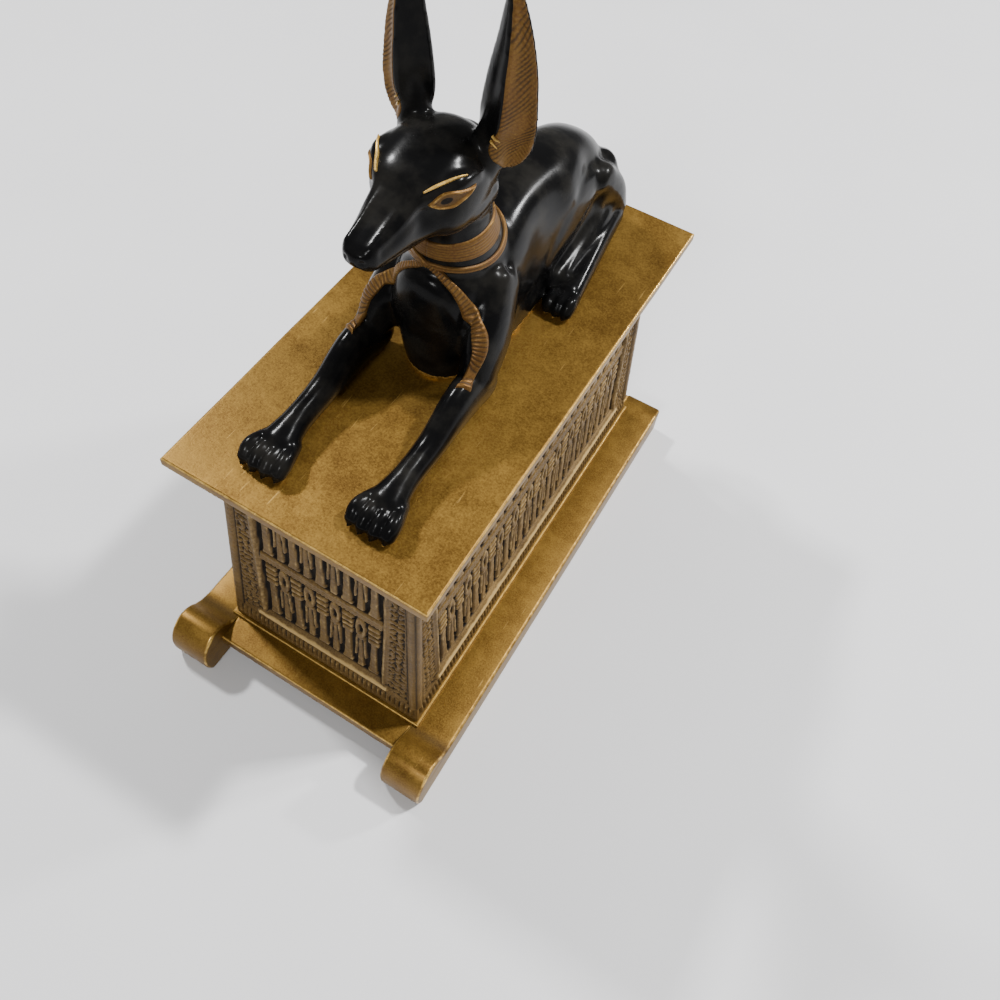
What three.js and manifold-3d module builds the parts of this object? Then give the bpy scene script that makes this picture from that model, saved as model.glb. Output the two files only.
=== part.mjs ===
// A small cast souvenir: a recumbent jackal on a shrine chest that stands on a sledge.
// Millimetres, +Z up, the muzzle towards -Y. The origin is on the surface it stands on,
// below the middle of the whole object.
import * as THREE from 'three';
import { mergeVertices } from 'three/addons/utils/BufferGeometryUtils.js';
import Module from 'manifold-3d';

const wasm = await Module();
wasm.setup();

// Driving dimensions of the chest
const SLAB_WIDTH = 53.6;
const SLAB_LENGTH = 104.4;
const SLAB_TOP = 69.2;
const SLAB_THICK = 2.4;
const BOARD_TOP = 7.9;
const BOARD_UNDER = 4.6;
const WALL_TOP_HALF_WIDTH = 20.2;
const WALL_FOOT_HALF_WIDTH = 23.4;
const WALL_TOP_HALF_LENGTH = 45.6;
const WALL_FOOT_HALF_LENGTH = 49.0;
const WALL_FOOT = BOARD_TOP + 1.0;
const WALL_TOP = SLAB_TOP - SLAB_THICK;
const RUNNER_OUTER = 31.9;
const RUNNER_INNER = 22.4;
const RUNNER_REAR = 54.4;
const RUNNER_FRONT = -61.5;
const BOARD_HALF_LENGTH = 55.6;

// Driving dimensions of the carved walls
const STILE_WIDTH = 7.6;
const PANEL_FOOT = 9.0;
const PANEL_HEAD = 4.6;
const PANEL_DEPTH = 1.1;
const MOTIF_DEPTH = 0.8;
const ROW_GAP = 3.4;
const BAND_FOOT = 1.6;
const BAND_HEIGHT = 3.4;
const BAND_RAISE = 0.45;
const BAND_INSET = 2.6;

// Driving dimensions of the jackal, heights above the slab
const REST_GAP = 0.3;
const GROUND = SLAB_TOP + REST_GAP;
const EAR_TIP = 76.0;
const TAIL_REAR = 57.4;

const BLACK = new THREE.MeshStandardMaterial({ color: 0x141414, roughness: 0.22, metalness: 0.0 });
const GOLD = new THREE.MeshStandardMaterial({ color: 0x8f6b2c, roughness: 0.45, metalness: 0.7 });

// Turns a closed geometry into a solid, whichever way its faces were wound.
function solid(geometry) {
  const bare = new THREE.BufferGeometry();
  bare.setAttribute('position', geometry.getAttribute('position').clone());
  if (geometry.index) bare.setIndex(geometry.index.clone());
  const merged = mergeVertices(bare, 1e-4);
  const vertProperties = new Float32Array(merged.getAttribute('position').array);
  const triVerts = new Uint32Array(merged.index.array);
  let volume = 0;
  const a = new THREE.Vector3();
  const b = new THREE.Vector3();
  const c = new THREE.Vector3();
  for (let i = 0; i < triVerts.length; i += 3) {
    a.fromArray(vertProperties, 3 * triVerts[i]);
    b.fromArray(vertProperties, 3 * triVerts[i + 1]);
    c.fromArray(vertProperties, 3 * triVerts[i + 2]);
    volume += a.dot(b.cross(c));
  }
  if (volume < 0) {
    for (let i = 0; i < triVerts.length; i += 3) {
      const first = triVerts[i];
      triVerts[i] = triVerts[i + 1];
      triVerts[i + 1] = first;
    }
  }
  return new wasm.Manifold(new wasm.Mesh({ numProp: 3, vertProperties, triVerts }));
}

function joined(solids) {
  return solids.reduce((whole, piece) => whole.add(piece));
}

function mesh(whole, name, material) {
  const result = whole.getMesh();
  const geometry = new THREE.BufferGeometry();
  const places = new Float32Array(result.vertProperties);
  const corners = new Uint32Array(result.triVerts);
  geometry.setAttribute('position', new THREE.BufferAttribute(places, 3));
  geometry.setIndex(new THREE.BufferAttribute(corners, 1));
  geometry.computeVertexNormals();
  const piece = new THREE.Mesh(geometry, material);
  piece.name = name;
  return piece;
}

// A box between two opposite corners.
function block(low, high) {
  const size = high.map((value, axis) => value - low[axis]);
  const middle = high.map((value, axis) => (value + low[axis]) / 2);
  return solid(new THREE.BoxGeometry(...size).translate(...middle));
}

// A block whose four walls lean, from a rectangle at the foot to one at the top.
function battered(footX, footY, footZ, topX, topY, topZ) {
  const box = new THREE.BoxGeometry(2, 2, 2);
  const place = box.getAttribute('position');
  for (let i = 0; i < place.count; i += 1) {
    const top = place.getZ(i) > 0;
    place.setXYZ(
      i,
      place.getX(i) * (top ? topX : footX),
      place.getY(i) * (top ? topY : footY),
      top ? topZ : footZ,
    );
  }
  return solid(box);
}

// A closed body along a smooth line. Each station is [x, y, z, half width, half height]:
// the half width lies across the line and level, the half height across it and upright.
// The ends are rounded over as a half ellipse. Squareness 2 is an ellipse, more is boxier.
function limb(stations, {
  sides = 10, steps = 8, squareness = 2, level = [1, 0, 0], blunt = 1, capSteps = 2,
} = {}) {
  const places = stations.map(([x, y, z]) => new THREE.Vector3(x, y, z));
  const halves = stations.map((station) => new THREE.Vector3(station[3], station[4], 0));
  const line = new THREE.CatmullRomCurve3(places, false, 'centripetal');
  const sizes = new THREE.CatmullRomCurve3(halves, false, 'catmullrom', 0.5);
  const across = new THREE.Vector3(...level);
  const rings = [];
  const ring = (t, along, shrink) => {
    const centre = line.getPoint(t);
    const tangent = line.getTangent(t);
    const size = sizes.getPoint(t);
    const up = new THREE.Vector3().crossVectors(across, tangent).normalize();
    const side = new THREE.Vector3().crossVectors(tangent, up).normalize();
    centre.addScaledVector(tangent, along);
    rings.push({ centre, up, side, w: size.x * shrink, h: size.y * shrink });
  };
  const first = stations[0];
  const last = stations[stations.length - 1];
  const startReach = blunt * Math.min(first[3], first[4]);
  const endReach = blunt * Math.min(last[3], last[4]);
  for (let i = 1; i <= capSteps; i += 1) {
    const angle = (Math.PI / 2) * (i / (capSteps + 1));
    ring(0, -startReach * Math.cos(angle), Math.sin(angle));
  }
  for (let i = 0; i <= steps; i += 1) ring(i / steps, 0, 1);
  for (let i = capSteps; i >= 1; i -= 1) {
    const angle = (Math.PI / 2) * (i / (capSteps + 1));
    ring(1, endReach * Math.cos(angle), Math.sin(angle));
  }
  const positions = [];
  for (const { centre, up, side, w, h } of rings) {
    for (let k = 0; k < sides; k += 1) {
      const angle = (2 * Math.PI * (k + 0.5)) / sides;
      const c = Math.cos(angle);
      const s = Math.sin(angle);
      const x = w * Math.sign(c) * Math.abs(c) ** (2 / squareness);
      const y = h * Math.sign(s) * Math.abs(s) ** (2 / squareness);
      positions.push(
        centre.x + side.x * x + up.x * y,
        centre.y + side.y * x + up.y * y,
        centre.z + side.z * x + up.z * y,
      );
    }
  }
  const poles = [
    line.getPoint(0).addScaledVector(line.getTangent(0), -startReach),
    line.getPoint(1).addScaledVector(line.getTangent(1), endReach),
  ];
  for (const pole of poles) positions.push(pole.x, pole.y, pole.z);
  const index = [];
  const count = rings.length;
  for (let r = 0; r + 1 < count; r += 1) {
    for (let k = 0; k < sides; k += 1) {
      const n = (k + 1) % sides;
      const a = r * sides + k;
      const b = r * sides + n;
      index.push(a, b, b + sides, a, b + sides, a + sides);
    }
  }
  for (let k = 0; k < sides; k += 1) {
    const n = (k + 1) % sides;
    index.push(count * sides, n, k);
    index.push(count * sides + 1, (count - 1) * sides + k, (count - 1) * sides + n);
  }
  const geometry = new THREE.BufferGeometry();
  geometry.setAttribute('position', new THREE.Float32BufferAttribute(positions, 3));
  geometry.setIndex(index);
  return solid(geometry);
}

// An outline in the plane of a wall, raised outwards. Points are [along, up].
function plate(points, depth, hole = null) {
  const shape = new THREE.Shape(points.map(([x, y]) => new THREE.Vector2(x, y)));
  if (hole) shape.holes.push(new THREE.Path(hole.map(([x, y]) => new THREE.Vector2(x, y))));
  return new THREE.ExtrudeGeometry(shape, { depth, bevelEnabled: false });
}

// The pillar motif: a shaft under a broad head.
function pillar(width, height) {
  const shaft = width * 0.22;
  const head = width * 0.42;
  const neck = height * 0.6;
  return [
    [-shaft, 0], [shaft, 0], [shaft, neck], [head, neck],
    [head, height], [-head, height], [-head, neck], [-shaft, neck],
  ];
}

// The knot motif: a loop with a hole, over two hanging arms.
function knot(width, height) {
  const skirt = width * 0.44;
  const waist = height * 0.5;
  const outline = [
    [-skirt, 0], [skirt, 0], [width * 0.3, waist],
    [width * 0.34, height * 0.9], [0, height], [-width * 0.34, height * 0.9], [-width * 0.3, waist],
  ];
  const hole = [
    [-width * 0.16, height * 0.74], [0, height * 0.6], [width * 0.16, height * 0.74], [0, height * 0.88],
  ];
  return { outline, hole };
}

// The carving of one wall, made flat with its foot on the line y = 0 and its outer face at
// z = 0, then stood up against the leaning wall.
function wallCarving(halfFoot, halfTop, footReach, topReach, pairs, place) {
  const rise = WALL_TOP - WALL_FOOT;
  const slope = Math.hypot(rise, footReach - topReach);
  const lean = Math.atan2(footReach - topReach, rise);
  const halfPanel = halfTop - STILE_WIDTH * 0.78;
  const panelTop = slope - PANEL_HEAD;
  const cuts = [];
  const adds = [];
  const stand = (geometry) => {
    geometry.rotateX(Math.PI / 2 - lean);
    geometry.translate(0, -footReach, WALL_FOOT);
    place(geometry);
    return solid(geometry);
  };
  const recess = new THREE.BoxGeometry(2 * halfPanel, panelTop - PANEL_FOOT, 2 * PANEL_DEPTH);
  recess.translate(0, (panelTop + PANEL_FOOT) / 2, 0);
  cuts.push(stand(recess));
  const rowHeight = (panelTop - PANEL_FOOT - ROW_GAP - 2.4) / 2;
  const count = 2 * pairs + 1;
  const pitch = (2 * halfPanel - 1.2) / count;
  const floor = -PANEL_DEPTH - 0.3;
  const rail = new THREE.BoxGeometry(2 * halfPanel + 0.4, ROW_GAP - 1.0, MOTIF_DEPTH + 0.3);
  rail.translate(0, (panelTop + PANEL_FOOT) / 2, floor + (MOTIF_DEPTH + 0.3) / 2);
  adds.push(stand(rail));
  for (const foot of [PANEL_FOOT + 0.7, (panelTop + PANEL_FOOT) / 2 + ROW_GAP / 2 + 0.1]) {
    for (let i = 0; i < count; i += 1) {
      const x = (i - (count - 1) / 2) * pitch;
      const motif = i % 2 === 0
        ? plate(pillar(pitch * 0.86, rowHeight), MOTIF_DEPTH + 0.3)
        : plate(knot(pitch * 0.86, rowHeight).outline, MOTIF_DEPTH + 0.3, knot(pitch * 0.86, rowHeight).hole);
      motif.translate(x, foot, floor);
      adds.push(stand(motif));
    }
  }
  const moulding = new THREE.CylinderGeometry(0.75, 0.75, 2 * halfPanel + 3.2, 8);
  moulding.rotateZ(Math.PI / 2);
  moulding.translate(0, PANEL_FOOT - 1.3, 0);
  adds.push(stand(moulding));
  const footBand = new THREE.BoxGeometry(2 * halfFoot - BAND_INSET, BAND_HEIGHT, 2 * BAND_RAISE);
  footBand.translate(0, BAND_FOOT + BAND_HEIGHT / 2, 0);
  adds.push(stand(footBand));
  return { cuts, adds };
}

// One sledge runner: a long bar whose front end rises through a hollow into a round nose.
function runner(side) {
  const profile = new THREE.Shape();
  profile.moveTo(RUNNER_REAR, 0);
  profile.lineTo(RUNNER_REAR, BOARD_TOP);
  profile.lineTo(-47.5, BOARD_TOP);
  profile.quadraticCurveTo(-51.6, BOARD_TOP, -53.6, BOARD_TOP + 2.6);
  profile.quadraticCurveTo(-55.4, BOARD_TOP + 4.2, -57.6, BOARD_TOP + 3.7);
  profile.quadraticCurveTo(RUNNER_FRONT + 0.3, BOARD_TOP + 2.0, RUNNER_FRONT, 5.4);
  profile.quadraticCurveTo(RUNNER_FRONT, 1.6, RUNNER_FRONT + 1.3, 0);
  const bar = new THREE.ExtrudeGeometry(profile, {
    depth: RUNNER_OUTER - RUNNER_INNER,
    bevelEnabled: false,
    curveSegments: 4,
  });
  bar.applyMatrix4(new THREE.Matrix4().makeBasis(
    new THREE.Vector3(0, 1, 0),
    new THREE.Vector3(0, 0, 1),
    new THREE.Vector3(1, 0, 0),
  ));
  bar.translate(side > 0 ? RUNNER_INNER : -RUNNER_OUTER, 0, 0);
  return solid(bar);
}

function shrineChest() {
  const halfWidth = SLAB_WIDTH / 2;
  const halfLength = SLAB_LENGTH / 2;
  const pieces = [
    block([-halfWidth, -halfLength, WALL_TOP], [halfWidth, halfLength, SLAB_TOP]),
    battered(
      WALL_FOOT_HALF_WIDTH, WALL_FOOT_HALF_LENGTH, WALL_FOOT,
      WALL_TOP_HALF_WIDTH, WALL_TOP_HALF_LENGTH, WALL_TOP + 0.2,
    ),
    block(
      [-WALL_FOOT_HALF_WIDTH - 0.7, -WALL_FOOT_HALF_LENGTH - 0.9, BOARD_TOP - 0.2],
      [WALL_FOOT_HALF_WIDTH + 0.7, WALL_FOOT_HALF_LENGTH + 0.9, WALL_FOOT],
    ),
    block(
      [-RUNNER_INNER - 0.4, -BOARD_HALF_LENGTH, BOARD_UNDER],
      [RUNNER_INNER + 0.4, RUNNER_REAR, BOARD_TOP],
    ),
    block(
      [-WALL_TOP_HALF_WIDTH - 0.9, -WALL_TOP_HALF_LENGTH - 0.9, WALL_TOP - 1.5],
      [WALL_TOP_HALF_WIDTH + 0.9, WALL_TOP_HALF_LENGTH + 0.9, WALL_TOP + 0.1],
    ),
    runner(1),
    runner(-1),
  ];
  const walls = [];
  for (const turn of [0, Math.PI]) {
    walls.push(wallCarving(
      WALL_FOOT_HALF_WIDTH, WALL_TOP_HALF_WIDTH, WALL_FOOT_HALF_LENGTH, WALL_TOP_HALF_LENGTH,
      4, (geometry) => geometry.rotateZ(turn),
    ));
    walls.push(wallCarving(
      WALL_FOOT_HALF_LENGTH, WALL_TOP_HALF_LENGTH, WALL_FOOT_HALF_WIDTH, WALL_TOP_HALF_WIDTH,
      9, (geometry) => geometry.rotateZ(turn + Math.PI / 2),
    ));
  }
  let chest = joined(pieces);
  for (const { cuts } of walls) {
    for (const cut of cuts) chest = chest.subtract(cut);
  }
  return walls.reduce((whole, { adds }) => whole.add(joined(adds)), chest);
}

// A tall pricked ear: broad face forward with a ridge down it, the outer half hollowed out.
function ear(side) {
  const leaf = limb([
    [side * 8.8, -5.2, GROUND + 49.0, 2.6, 2.0],
    [side * 8.5, -5.3, GROUND + 53.0, 4.2, 2.6],
    [side * 8.4, -5.4, GROUND + 57.5, 4.4, 2.5],
    [side * 8.6, -5.5, GROUND + 63.0, 3.6, 2.1],
    [side * 8.5, -5.6, GROUND + 68.0, 2.4, 1.5],
    [side * 7.6, -5.7, GROUND + EAR_TIP - 1.6, 0.7, 0.6],
  ], { sides: 8, steps: 6, squareness: 1.8, capSteps: 1 });
  const hollow = limb([
    [side * 11.0, -8.0, GROUND + 51.0, 1.7, 1.4],
    [side * 11.2, -8.1, GROUND + 57.0, 2.6, 1.9],
    [side * 10.8, -7.7, GROUND + 63.0, 2.1, 1.6],
    [side * 9.7, -7.2, GROUND + 68.5, 1.2, 1.1],
  ], { sides: 6, steps: 4, level: [1, side * 0.84, 0], capSteps: 1 });
  return leaf.subtract(hollow);
}

// A flat foot that ends in four toes, its tip at the lowest y.
function paw(side, x, y, spread, length) {
  const toes = 4;
  const parts = [];
  for (let i = 0; i < toes; i += 1) {
    const place = (i - (toes - 1) / 2) / toes;
    const reach = length * (1 - 0.9 * place * place);
    parts.push(limb([
      [side * x + place * spread * 0.7, y + 3.4, GROUND + 2.8, spread * 0.15, 1.9],
      [side * x + place * spread, y - reach * 0.55, GROUND + 2.4, spread * 0.15, 1.9],
      [side * x + place * spread, y - reach, GROUND + 1.4, spread * 0.14, 1.3],
    ], { sides: 5, steps: 1, capSteps: 1 }));
  }
  return joined(parts);
}

function jackal() {
  const g = (height) => GROUND + height;
  const parts = [];
  // Trunk from the breast to the rump
  parts.push(limb([
    [0, -9.5, g(12.4), 7.6, 13.4],
    [0, -4.0, g(13.4), 10.2, 14.2],
    [0, 6.0, g(13.8), 10.2, 14.8],
    [0, 18.0, g(13.6), 9.4, 14.8],
    [0, 29.0, g(12.6), 9.2, 14.0],
    [0, 38.0, g(9.8), 8.2, 11.8],
    [0, 45.0, g(6.0), 6.0, 7.6],
  ], { sides: 12, steps: 8, squareness: 2.3, blunt: 0.55, capSteps: 1 }));
  // Belly, with upright sides down to the slab
  parts.push(limb([
    [0, -5.0, g(3.2), 8.4, 7.0],
    [0, 6.0, g(3.9), 9.2, 8.0],
    [0, 24.0, g(3.9), 9.0, 8.0],
    [0, 42.0, g(3.3), 8.4, 6.6],
  ], { sides: 12, steps: 3, squareness: 3.2, blunt: 0.5, capSteps: 1 }));
  // Breast, upright between the shoulders down to the slab
  parts.push(limb([
    [0, -6.8, g(-2.0), 5.8, 5.2],
    [0, -7.4, g(9.0), 7.6, 6.2],
    [0, -6.6, g(21.0), 7.4, 5.8],
  ], { sides: 10, steps: 3, capSteps: 1 }));
  // Neck, from the withers up to the skull
  parts.push(limb([
    [0, 3.0, g(17.0), 9.0, 9.5],
    [0, -3.2, g(26.0), 7.8, 8.6],
    [0, -4.8, g(34.0), 6.7, 7.1],
    [0, -5.6, g(42.0), 6.4, 6.4],
  ], { sides: 10, steps: 3, blunt: 0.5, capSteps: 1 }));
  // Skull and muzzle
  parts.push(limb([
    [0, -1.0, g(45.4), 6.0, 6.0],
    [0, -6.0, g(44.3), 8.2, 8.0],
    [0, -11.5, g(44.1), 8.6, 8.0],
    [0, -16.2, g(44.5), 8.0, 6.4],
    [0, -20.5, g(43.9), 5.1, 4.4],
    [0, -25.0, g(43.4), 3.5, 3.1],
    [0, -29.2, g(43.2), 2.7, 2.2],
  ], { sides: 12, steps: 8, squareness: 2.4, blunt: 0.6, capSteps: 1 }));
  for (const side of [-1, 1]) {
    parts.push(ear(side));
    // Shoulder and upper arm, forearm
    parts.push(limb([
      [side * 8.0, -1.0, g(19.0), 3.4, 6.0],
      [side * 9.8, -7.0, g(12.5), 3.8, 6.4],
      [side * 11.0, -12.0, g(6.5), 3.2, 4.4],
    ], { sides: 7, steps: 3, capSteps: 1 }));
    parts.push(limb([
      [side * 11.0, -11.0, g(4.6), 3.2, 5.0],
      [side * 11.1, -18.6, g(5.2), 2.9, 5.0],
      [side * 11.1, -27.0, g(3.2), 2.6, 3.2],
      [side * 11.0, -34.5, g(2.7), 2.6, 2.8],
      [side * 10.9, -40.0, g(2.3), 3.5, 2.5],
    ], { sides: 6, steps: 5, capSteps: 1 }));
    parts.push(paw(side, 10.9, -41.6, 9.3, 4.0));
    // Haunch, shin, flat of the thigh, hind foot
    parts.push(limb([
      [side * 5.0, 42.0, g(9.2), 5.2, 8.0],
      [side * 6.8, 39.0, g(12.3), 4.3, 7.0],
      [side * 7.9, 37.0, g(15.6), 3.0, 3.7],
    ], { sides: 7, steps: 3, capSteps: 1 }));
    parts.push(limb([
      [side * 8.4, 38.0, g(15.0), 2.7, 3.7],
      [side * 9.4, 42.8, g(9.7), 2.7, 3.5],
      [side * 10.0, 45.0, g(4.2), 2.5, 3.1],
    ], { sides: 6, steps: 3, capSteps: 1 }));
    parts.push(limb([
      [side * 6.6, 42.0, g(6.7), 3.4, 8.0],
      [side * 7.0, 33.0, g(8.7), 3.2, 11.5],
      [side * 7.0, 24.0, g(8.3), 3.1, 11.0],
      [side * 7.2, 17.0, g(6.1), 2.8, 8.6],
    ], { sides: 8, steps: 3, squareness: 2.5, blunt: 0.7, capSteps: 1 }));
    parts.push(limb([
      [side * 10.3, 43.6, g(3.0), 2.6, 3.1],
      [side * 11.7, 32.0, g(2.7), 2.7, 3.0],
      [side * 13.2, 19.0, g(2.2), 2.9, 2.5],
    ], { sides: 6, steps: 3, capSteps: 1 }));
    parts.push(paw(side, 13.3, 17.2, 7.2, 3.4));
    // Scarf end down the breast and the arm
    parts.push(limb([
      [side * 1.0, -12.2, g(27.2), 1.3, 1.0],
      [side * 6.4, -12.6, g(23.4), 1.6, 1.0],
      [side * 9.8, -13.6, g(18.0), 1.8, 1.0],
      [side * 11.0, -17.4, g(11.0), 1.9, 1.0],
    ], { sides: 4, steps: 6, capSteps: 1 }));
  }
  // Collar: two bands round the neck
  for (const [height, radius, thick] of [[31.8, 7.2, 1.7], [27.8, 8.0, 0.9]]) {
    const band = new THREE.TorusGeometry(radius, 1, 4, 12);
    band.scale(1, 1, thick);
    band.rotateX(0.3);
    band.translate(0, -3.6, g(height));
    parts.push(solid(band));
  }
  // Everything above stops just over the slab
  const slabSpace = block([-40, -70, SLAB_TOP - 30], [40, 70, GROUND]);
  // Tail: over the rear edge of the slab and down against the rear wall
  const tail = limb([
    [0, 44.0, g(8.0), 3.0, 3.0],
    [0, 50.6, g(6.0), 2.3, 2.3],
    [0, TAIL_REAR - 2.0, g(0.0), 2.3, 1.9],
    [0, TAIL_REAR - 2.0, g(-8.0), 2.5, 1.9],
    [0, 50.9, g(-20.0), 2.9, 1.9],
    [0, 50.9, g(-32.0), 2.4, 1.7],
    [0, 51.2, g(-40.0), 1.0, 1.0],
  ], { sides: 6, steps: 10, capSteps: 1 });
  return joined(parts).subtract(slabSpace).add(tail);
}

const statue = new THREE.Group();
statue.add(mesh(shrineChest(), 'shrine_chest', GOLD));
statue.add(mesh(jackal(), 'jackal', BLACK));
// The origin goes below the middle of the whole object
const extent = new THREE.Box3().setFromObject(statue);
statue.position.y = -(extent.min.y + extent.max.y) / 2;
export default statue;
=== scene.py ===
"""A small cast and painted souvenir: a black jackal lying on a gold shrine chest on a sledge.

Lengths are worked out in millimetres, muzzle towards -Y, and metres() turns them into metres in the
CAD frame. Surfaces are numpy grids, the jackal is a union of such surfaces, and the carved walls
are height fields.
"""
from math import cos, hypot, pi, radians, sin

import bpy
import numpy as np
from mathutils import Matrix, Vector
from mathutils.geometry import tessellate_polygon


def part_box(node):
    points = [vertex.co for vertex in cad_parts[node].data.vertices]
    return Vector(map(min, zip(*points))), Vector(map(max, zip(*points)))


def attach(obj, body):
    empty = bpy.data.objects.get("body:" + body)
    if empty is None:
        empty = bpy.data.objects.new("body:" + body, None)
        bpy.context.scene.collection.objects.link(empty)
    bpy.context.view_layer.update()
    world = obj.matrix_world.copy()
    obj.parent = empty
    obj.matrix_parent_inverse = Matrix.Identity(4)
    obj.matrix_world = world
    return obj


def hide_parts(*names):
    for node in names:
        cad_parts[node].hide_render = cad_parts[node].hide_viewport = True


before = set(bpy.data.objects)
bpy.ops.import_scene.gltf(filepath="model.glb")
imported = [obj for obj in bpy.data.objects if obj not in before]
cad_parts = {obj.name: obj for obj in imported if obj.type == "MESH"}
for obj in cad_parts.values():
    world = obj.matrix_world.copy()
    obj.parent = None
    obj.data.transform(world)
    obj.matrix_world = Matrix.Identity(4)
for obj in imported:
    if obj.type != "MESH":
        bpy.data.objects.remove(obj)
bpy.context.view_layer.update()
MM = 0.001

# Driving dimensions of the chest and the sledge
RUNNER_FRONT = -61.5
RUNNER_REAR = 54.4
RUNNER_OUTER = 31.9
RUNNER_INNER = 22.4
RUNNER_EDGE = 0.7
CURL_START = -47.5
SHIFT_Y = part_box("shrine_chest")[0].y / MM - RUNNER_FRONT
SLAB_HALF_WIDTH = 26.8
SLAB_HALF_LENGTH = 52.2
SLAB_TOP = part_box("shrine_chest")[1].z / MM
SLAB_THICK = 2.4
BOARD_TOP = 7.9
BOARD_UNDER = 4.6
BOARD_HALF_LENGTH = 55.6
WALL_FOOT = BOARD_TOP + 1.0
WALL_TOP = SLAB_TOP - SLAB_THICK
WALL_FOOT_HALF_WIDTH = 23.4
WALL_TOP_HALF_WIDTH = 20.2
WALL_FOOT_HALF_LENGTH = 49.0
WALL_TOP_HALF_LENGTH = 45.6
WALL_SHELL = 3.0
MOULDING_OUT = 0.9

# The carved walls: numbers of motifs and of grid points, then places up the face, widths and depths
FRONT_MOTIFS = 9
SIDE_MOTIFS = 25
WALL_ROWS = 236
FRONT_COLUMNS = 182
SIDE_COLUMNS = 364
STILE_WIDTH = 5.93
STILE_FOOT = 6.6
STROKE_DEPTH = 0.42
STROKE_SHIFT = 40
PANEL_FOOT = 9.0
PANEL_HEAD = 4.6
PANEL_DEPTH = 1.1
MOTIF_DEPTH = 0.85
ROW_GAP = 3.4
RAIL_BEAD = 0.16
LINE_SOFT = 0.12
ROUND_BAR = PANEL_FOOT - 1.3
ROUND_BAR_RADIUS = 0.80
FRAME_RAISE = 0.38
CORNER_BEAD = 0.95
BEAD_RAISE = 0.42
BEAD_LINE_DEPTH = 0.30
BEAD_FOOT = 5.4
BAND_FOOT = 1.6
BAND_HEIGHT = 3.4
BAND_RAISE = 0.45
RIB_PITCH = 1.15
WANDER = 0.10
WANDER_LENGTH = 9.0
CAST_UNEVEN = 0.05
CAST_GRAIN = 2.2
FAR = 9.0

# The jackal: where it rests, just in the slab's skin, its remesh sizes, gold line and neck
REST = SLAB_TOP - 0.04
VOXEL_CORE = 0.62
VOXEL_HEAD = 0.40
VOXEL_SKIN = 0.39
GILT_HEIGHT = 0.80
GILT_REAR_GAP = 2.5
NECK_RADIUS = 8.6
NECK_Y = -3.8
BODY_MIDDLE = (0.0, -4.0, 0.0)
RIBBON_LIFT = 2.8

# Ear heights above the slab, with the medial edge, the ridge, the lateral edge and the depth
EAR_ROWS = np.array([
    [46.9, 9, 9.3, 9.8, 0.5], [47.8, 7.7, 8.5, 11, 1.5], [49.4, 5.8, 7.3, 12, 2.7],
    [51.6, 4.2, 7.2, 12.8, 3.4], [54.6, 3.7, 8.5, 13, 3.5], [58, 4, 8.8, 12.8, 3.4],
    [62.5, 4.7, 8.8, 12.3, 3.1], [67, 5.6, 8.8, 11.3, 2.6], [71.4, 6.3, 8.4, 9.9, 1.8],
    [74.4, 6.9, 7.8, 8.5, 0.9], [75.3, 7.3, 7.5, 7.8, 0.2],
])
EAR_PLANE = -5.3

# Lines of the gold trim, with heights above the slab, on the jackal's left
SCARF_PATH = [
    [0.2, -11.9, 27.7], [2.8, -11.6, 25.9], [5.5, -11, 23.2], [8.2, -10.7, 19.5],
    [10.2, -11.6, 16.2], [11.4, -13.9, 13.4], [11.4, -18.4, 10.2],
]
SCARF_HALF_WIDTHS = [0.62, 0.70, 0.95, 1.30, 1.50, 1.60, 1.72]
SCARF_TIE = [[-4.6, -11.4, 30], [-2.2, -12.2, 28.8], [0.4, -12.2, 27.4]]
BROW_PATH = [
    [3.9, -19.5, 49.4], [4.8, -18.1, 49.9], [5.7, -16.6, 50.2], [6.6, -15.2, 50.4], [7.4, -13.6, 50.2],
]
BROW_HALF_WIDTHS = [0.14, 0.28, 0.32, 0.24, 0.10]
TIE_HALF_WIDTHS = [0.5, 0.62, 0.62]
TUFTS = [
    [[7.7, -9.4, 53.8], [8.5, -8.4, 53.1], [9.4, -7.8, 52.2]],
    [[7.6, -9.2, 52.8], [8.2, -8.4, 52.2], [8.8, -7.8, 51.4]],
]
TUFT_HALF_WIDTHS = [0.07, 0.15, 0.05]

# The eye's outline and its pupil, as y and height above the slab, and its rim as shares of the way
EYE_OUTLINE = [
    [-19.5, 47.7], [-18.4, 48.7], [-16.8, 49.2], [-15, 48.8], [-13.4, 48.4], [-12.2, 48.2],
    [-13.2, 47.4], [-15, 46.8], [-16.5, 46.2], [-17.8, 46.4], [-18.9, 47],
]
EYE_PUPIL = (-17.3, 47.75)
EYE_RIM = 0.86
EYE_RIM_WIDTH = 0.11

# Paint colours
BLACK = (0.0032, 0.0032, 0.0034, 1.0)
# Dark grey mixed into the black in streaks: dust, and a painted sheen
BLACK_DUST_AND_SHEEN = (0.0120, 0.0112, 0.0098, 1.0)
GILT_DEEP = (0.100, 0.048, 0.0080, 1.0)
GILT_BODY = (0.245, 0.142, 0.0280, 1.0)
# Pale gold: the brows' own paint, and the colour of painted glints and highlights on gold edges and crests
GILT_PALE = (0.78, 0.50, 0.140, 1.0)
GILT_BROWN = (0.092, 0.040, 0.0125, 1.0)
GILT_TRIM = (0.180, 0.098, 0.0215, 1.0)
TAN = (0.190, 0.115, 0.036, 1.0)
TAN_DEEP = (0.055, 0.030, 0.009, 1.0)
# Pale tan: also the colour of painted glints on the carved walls' raised edges
TAN_PALE = (0.44, 0.295, 0.110, 1.0)
WASH = (0.0075, 0.0050, 0.0032, 1.0)

NO_TRIS = np.zeros((0, 3), int)


# Arrays and meshes

def smooth(edge0, edge1, x):
    """Smooth step from 0 at edge0 to 1 at edge1."""
    t = np.clip((x - edge0) / (edge1 - edge0), 0.0, 1.0)
    return t * t * (3 - 2 * t)


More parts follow.
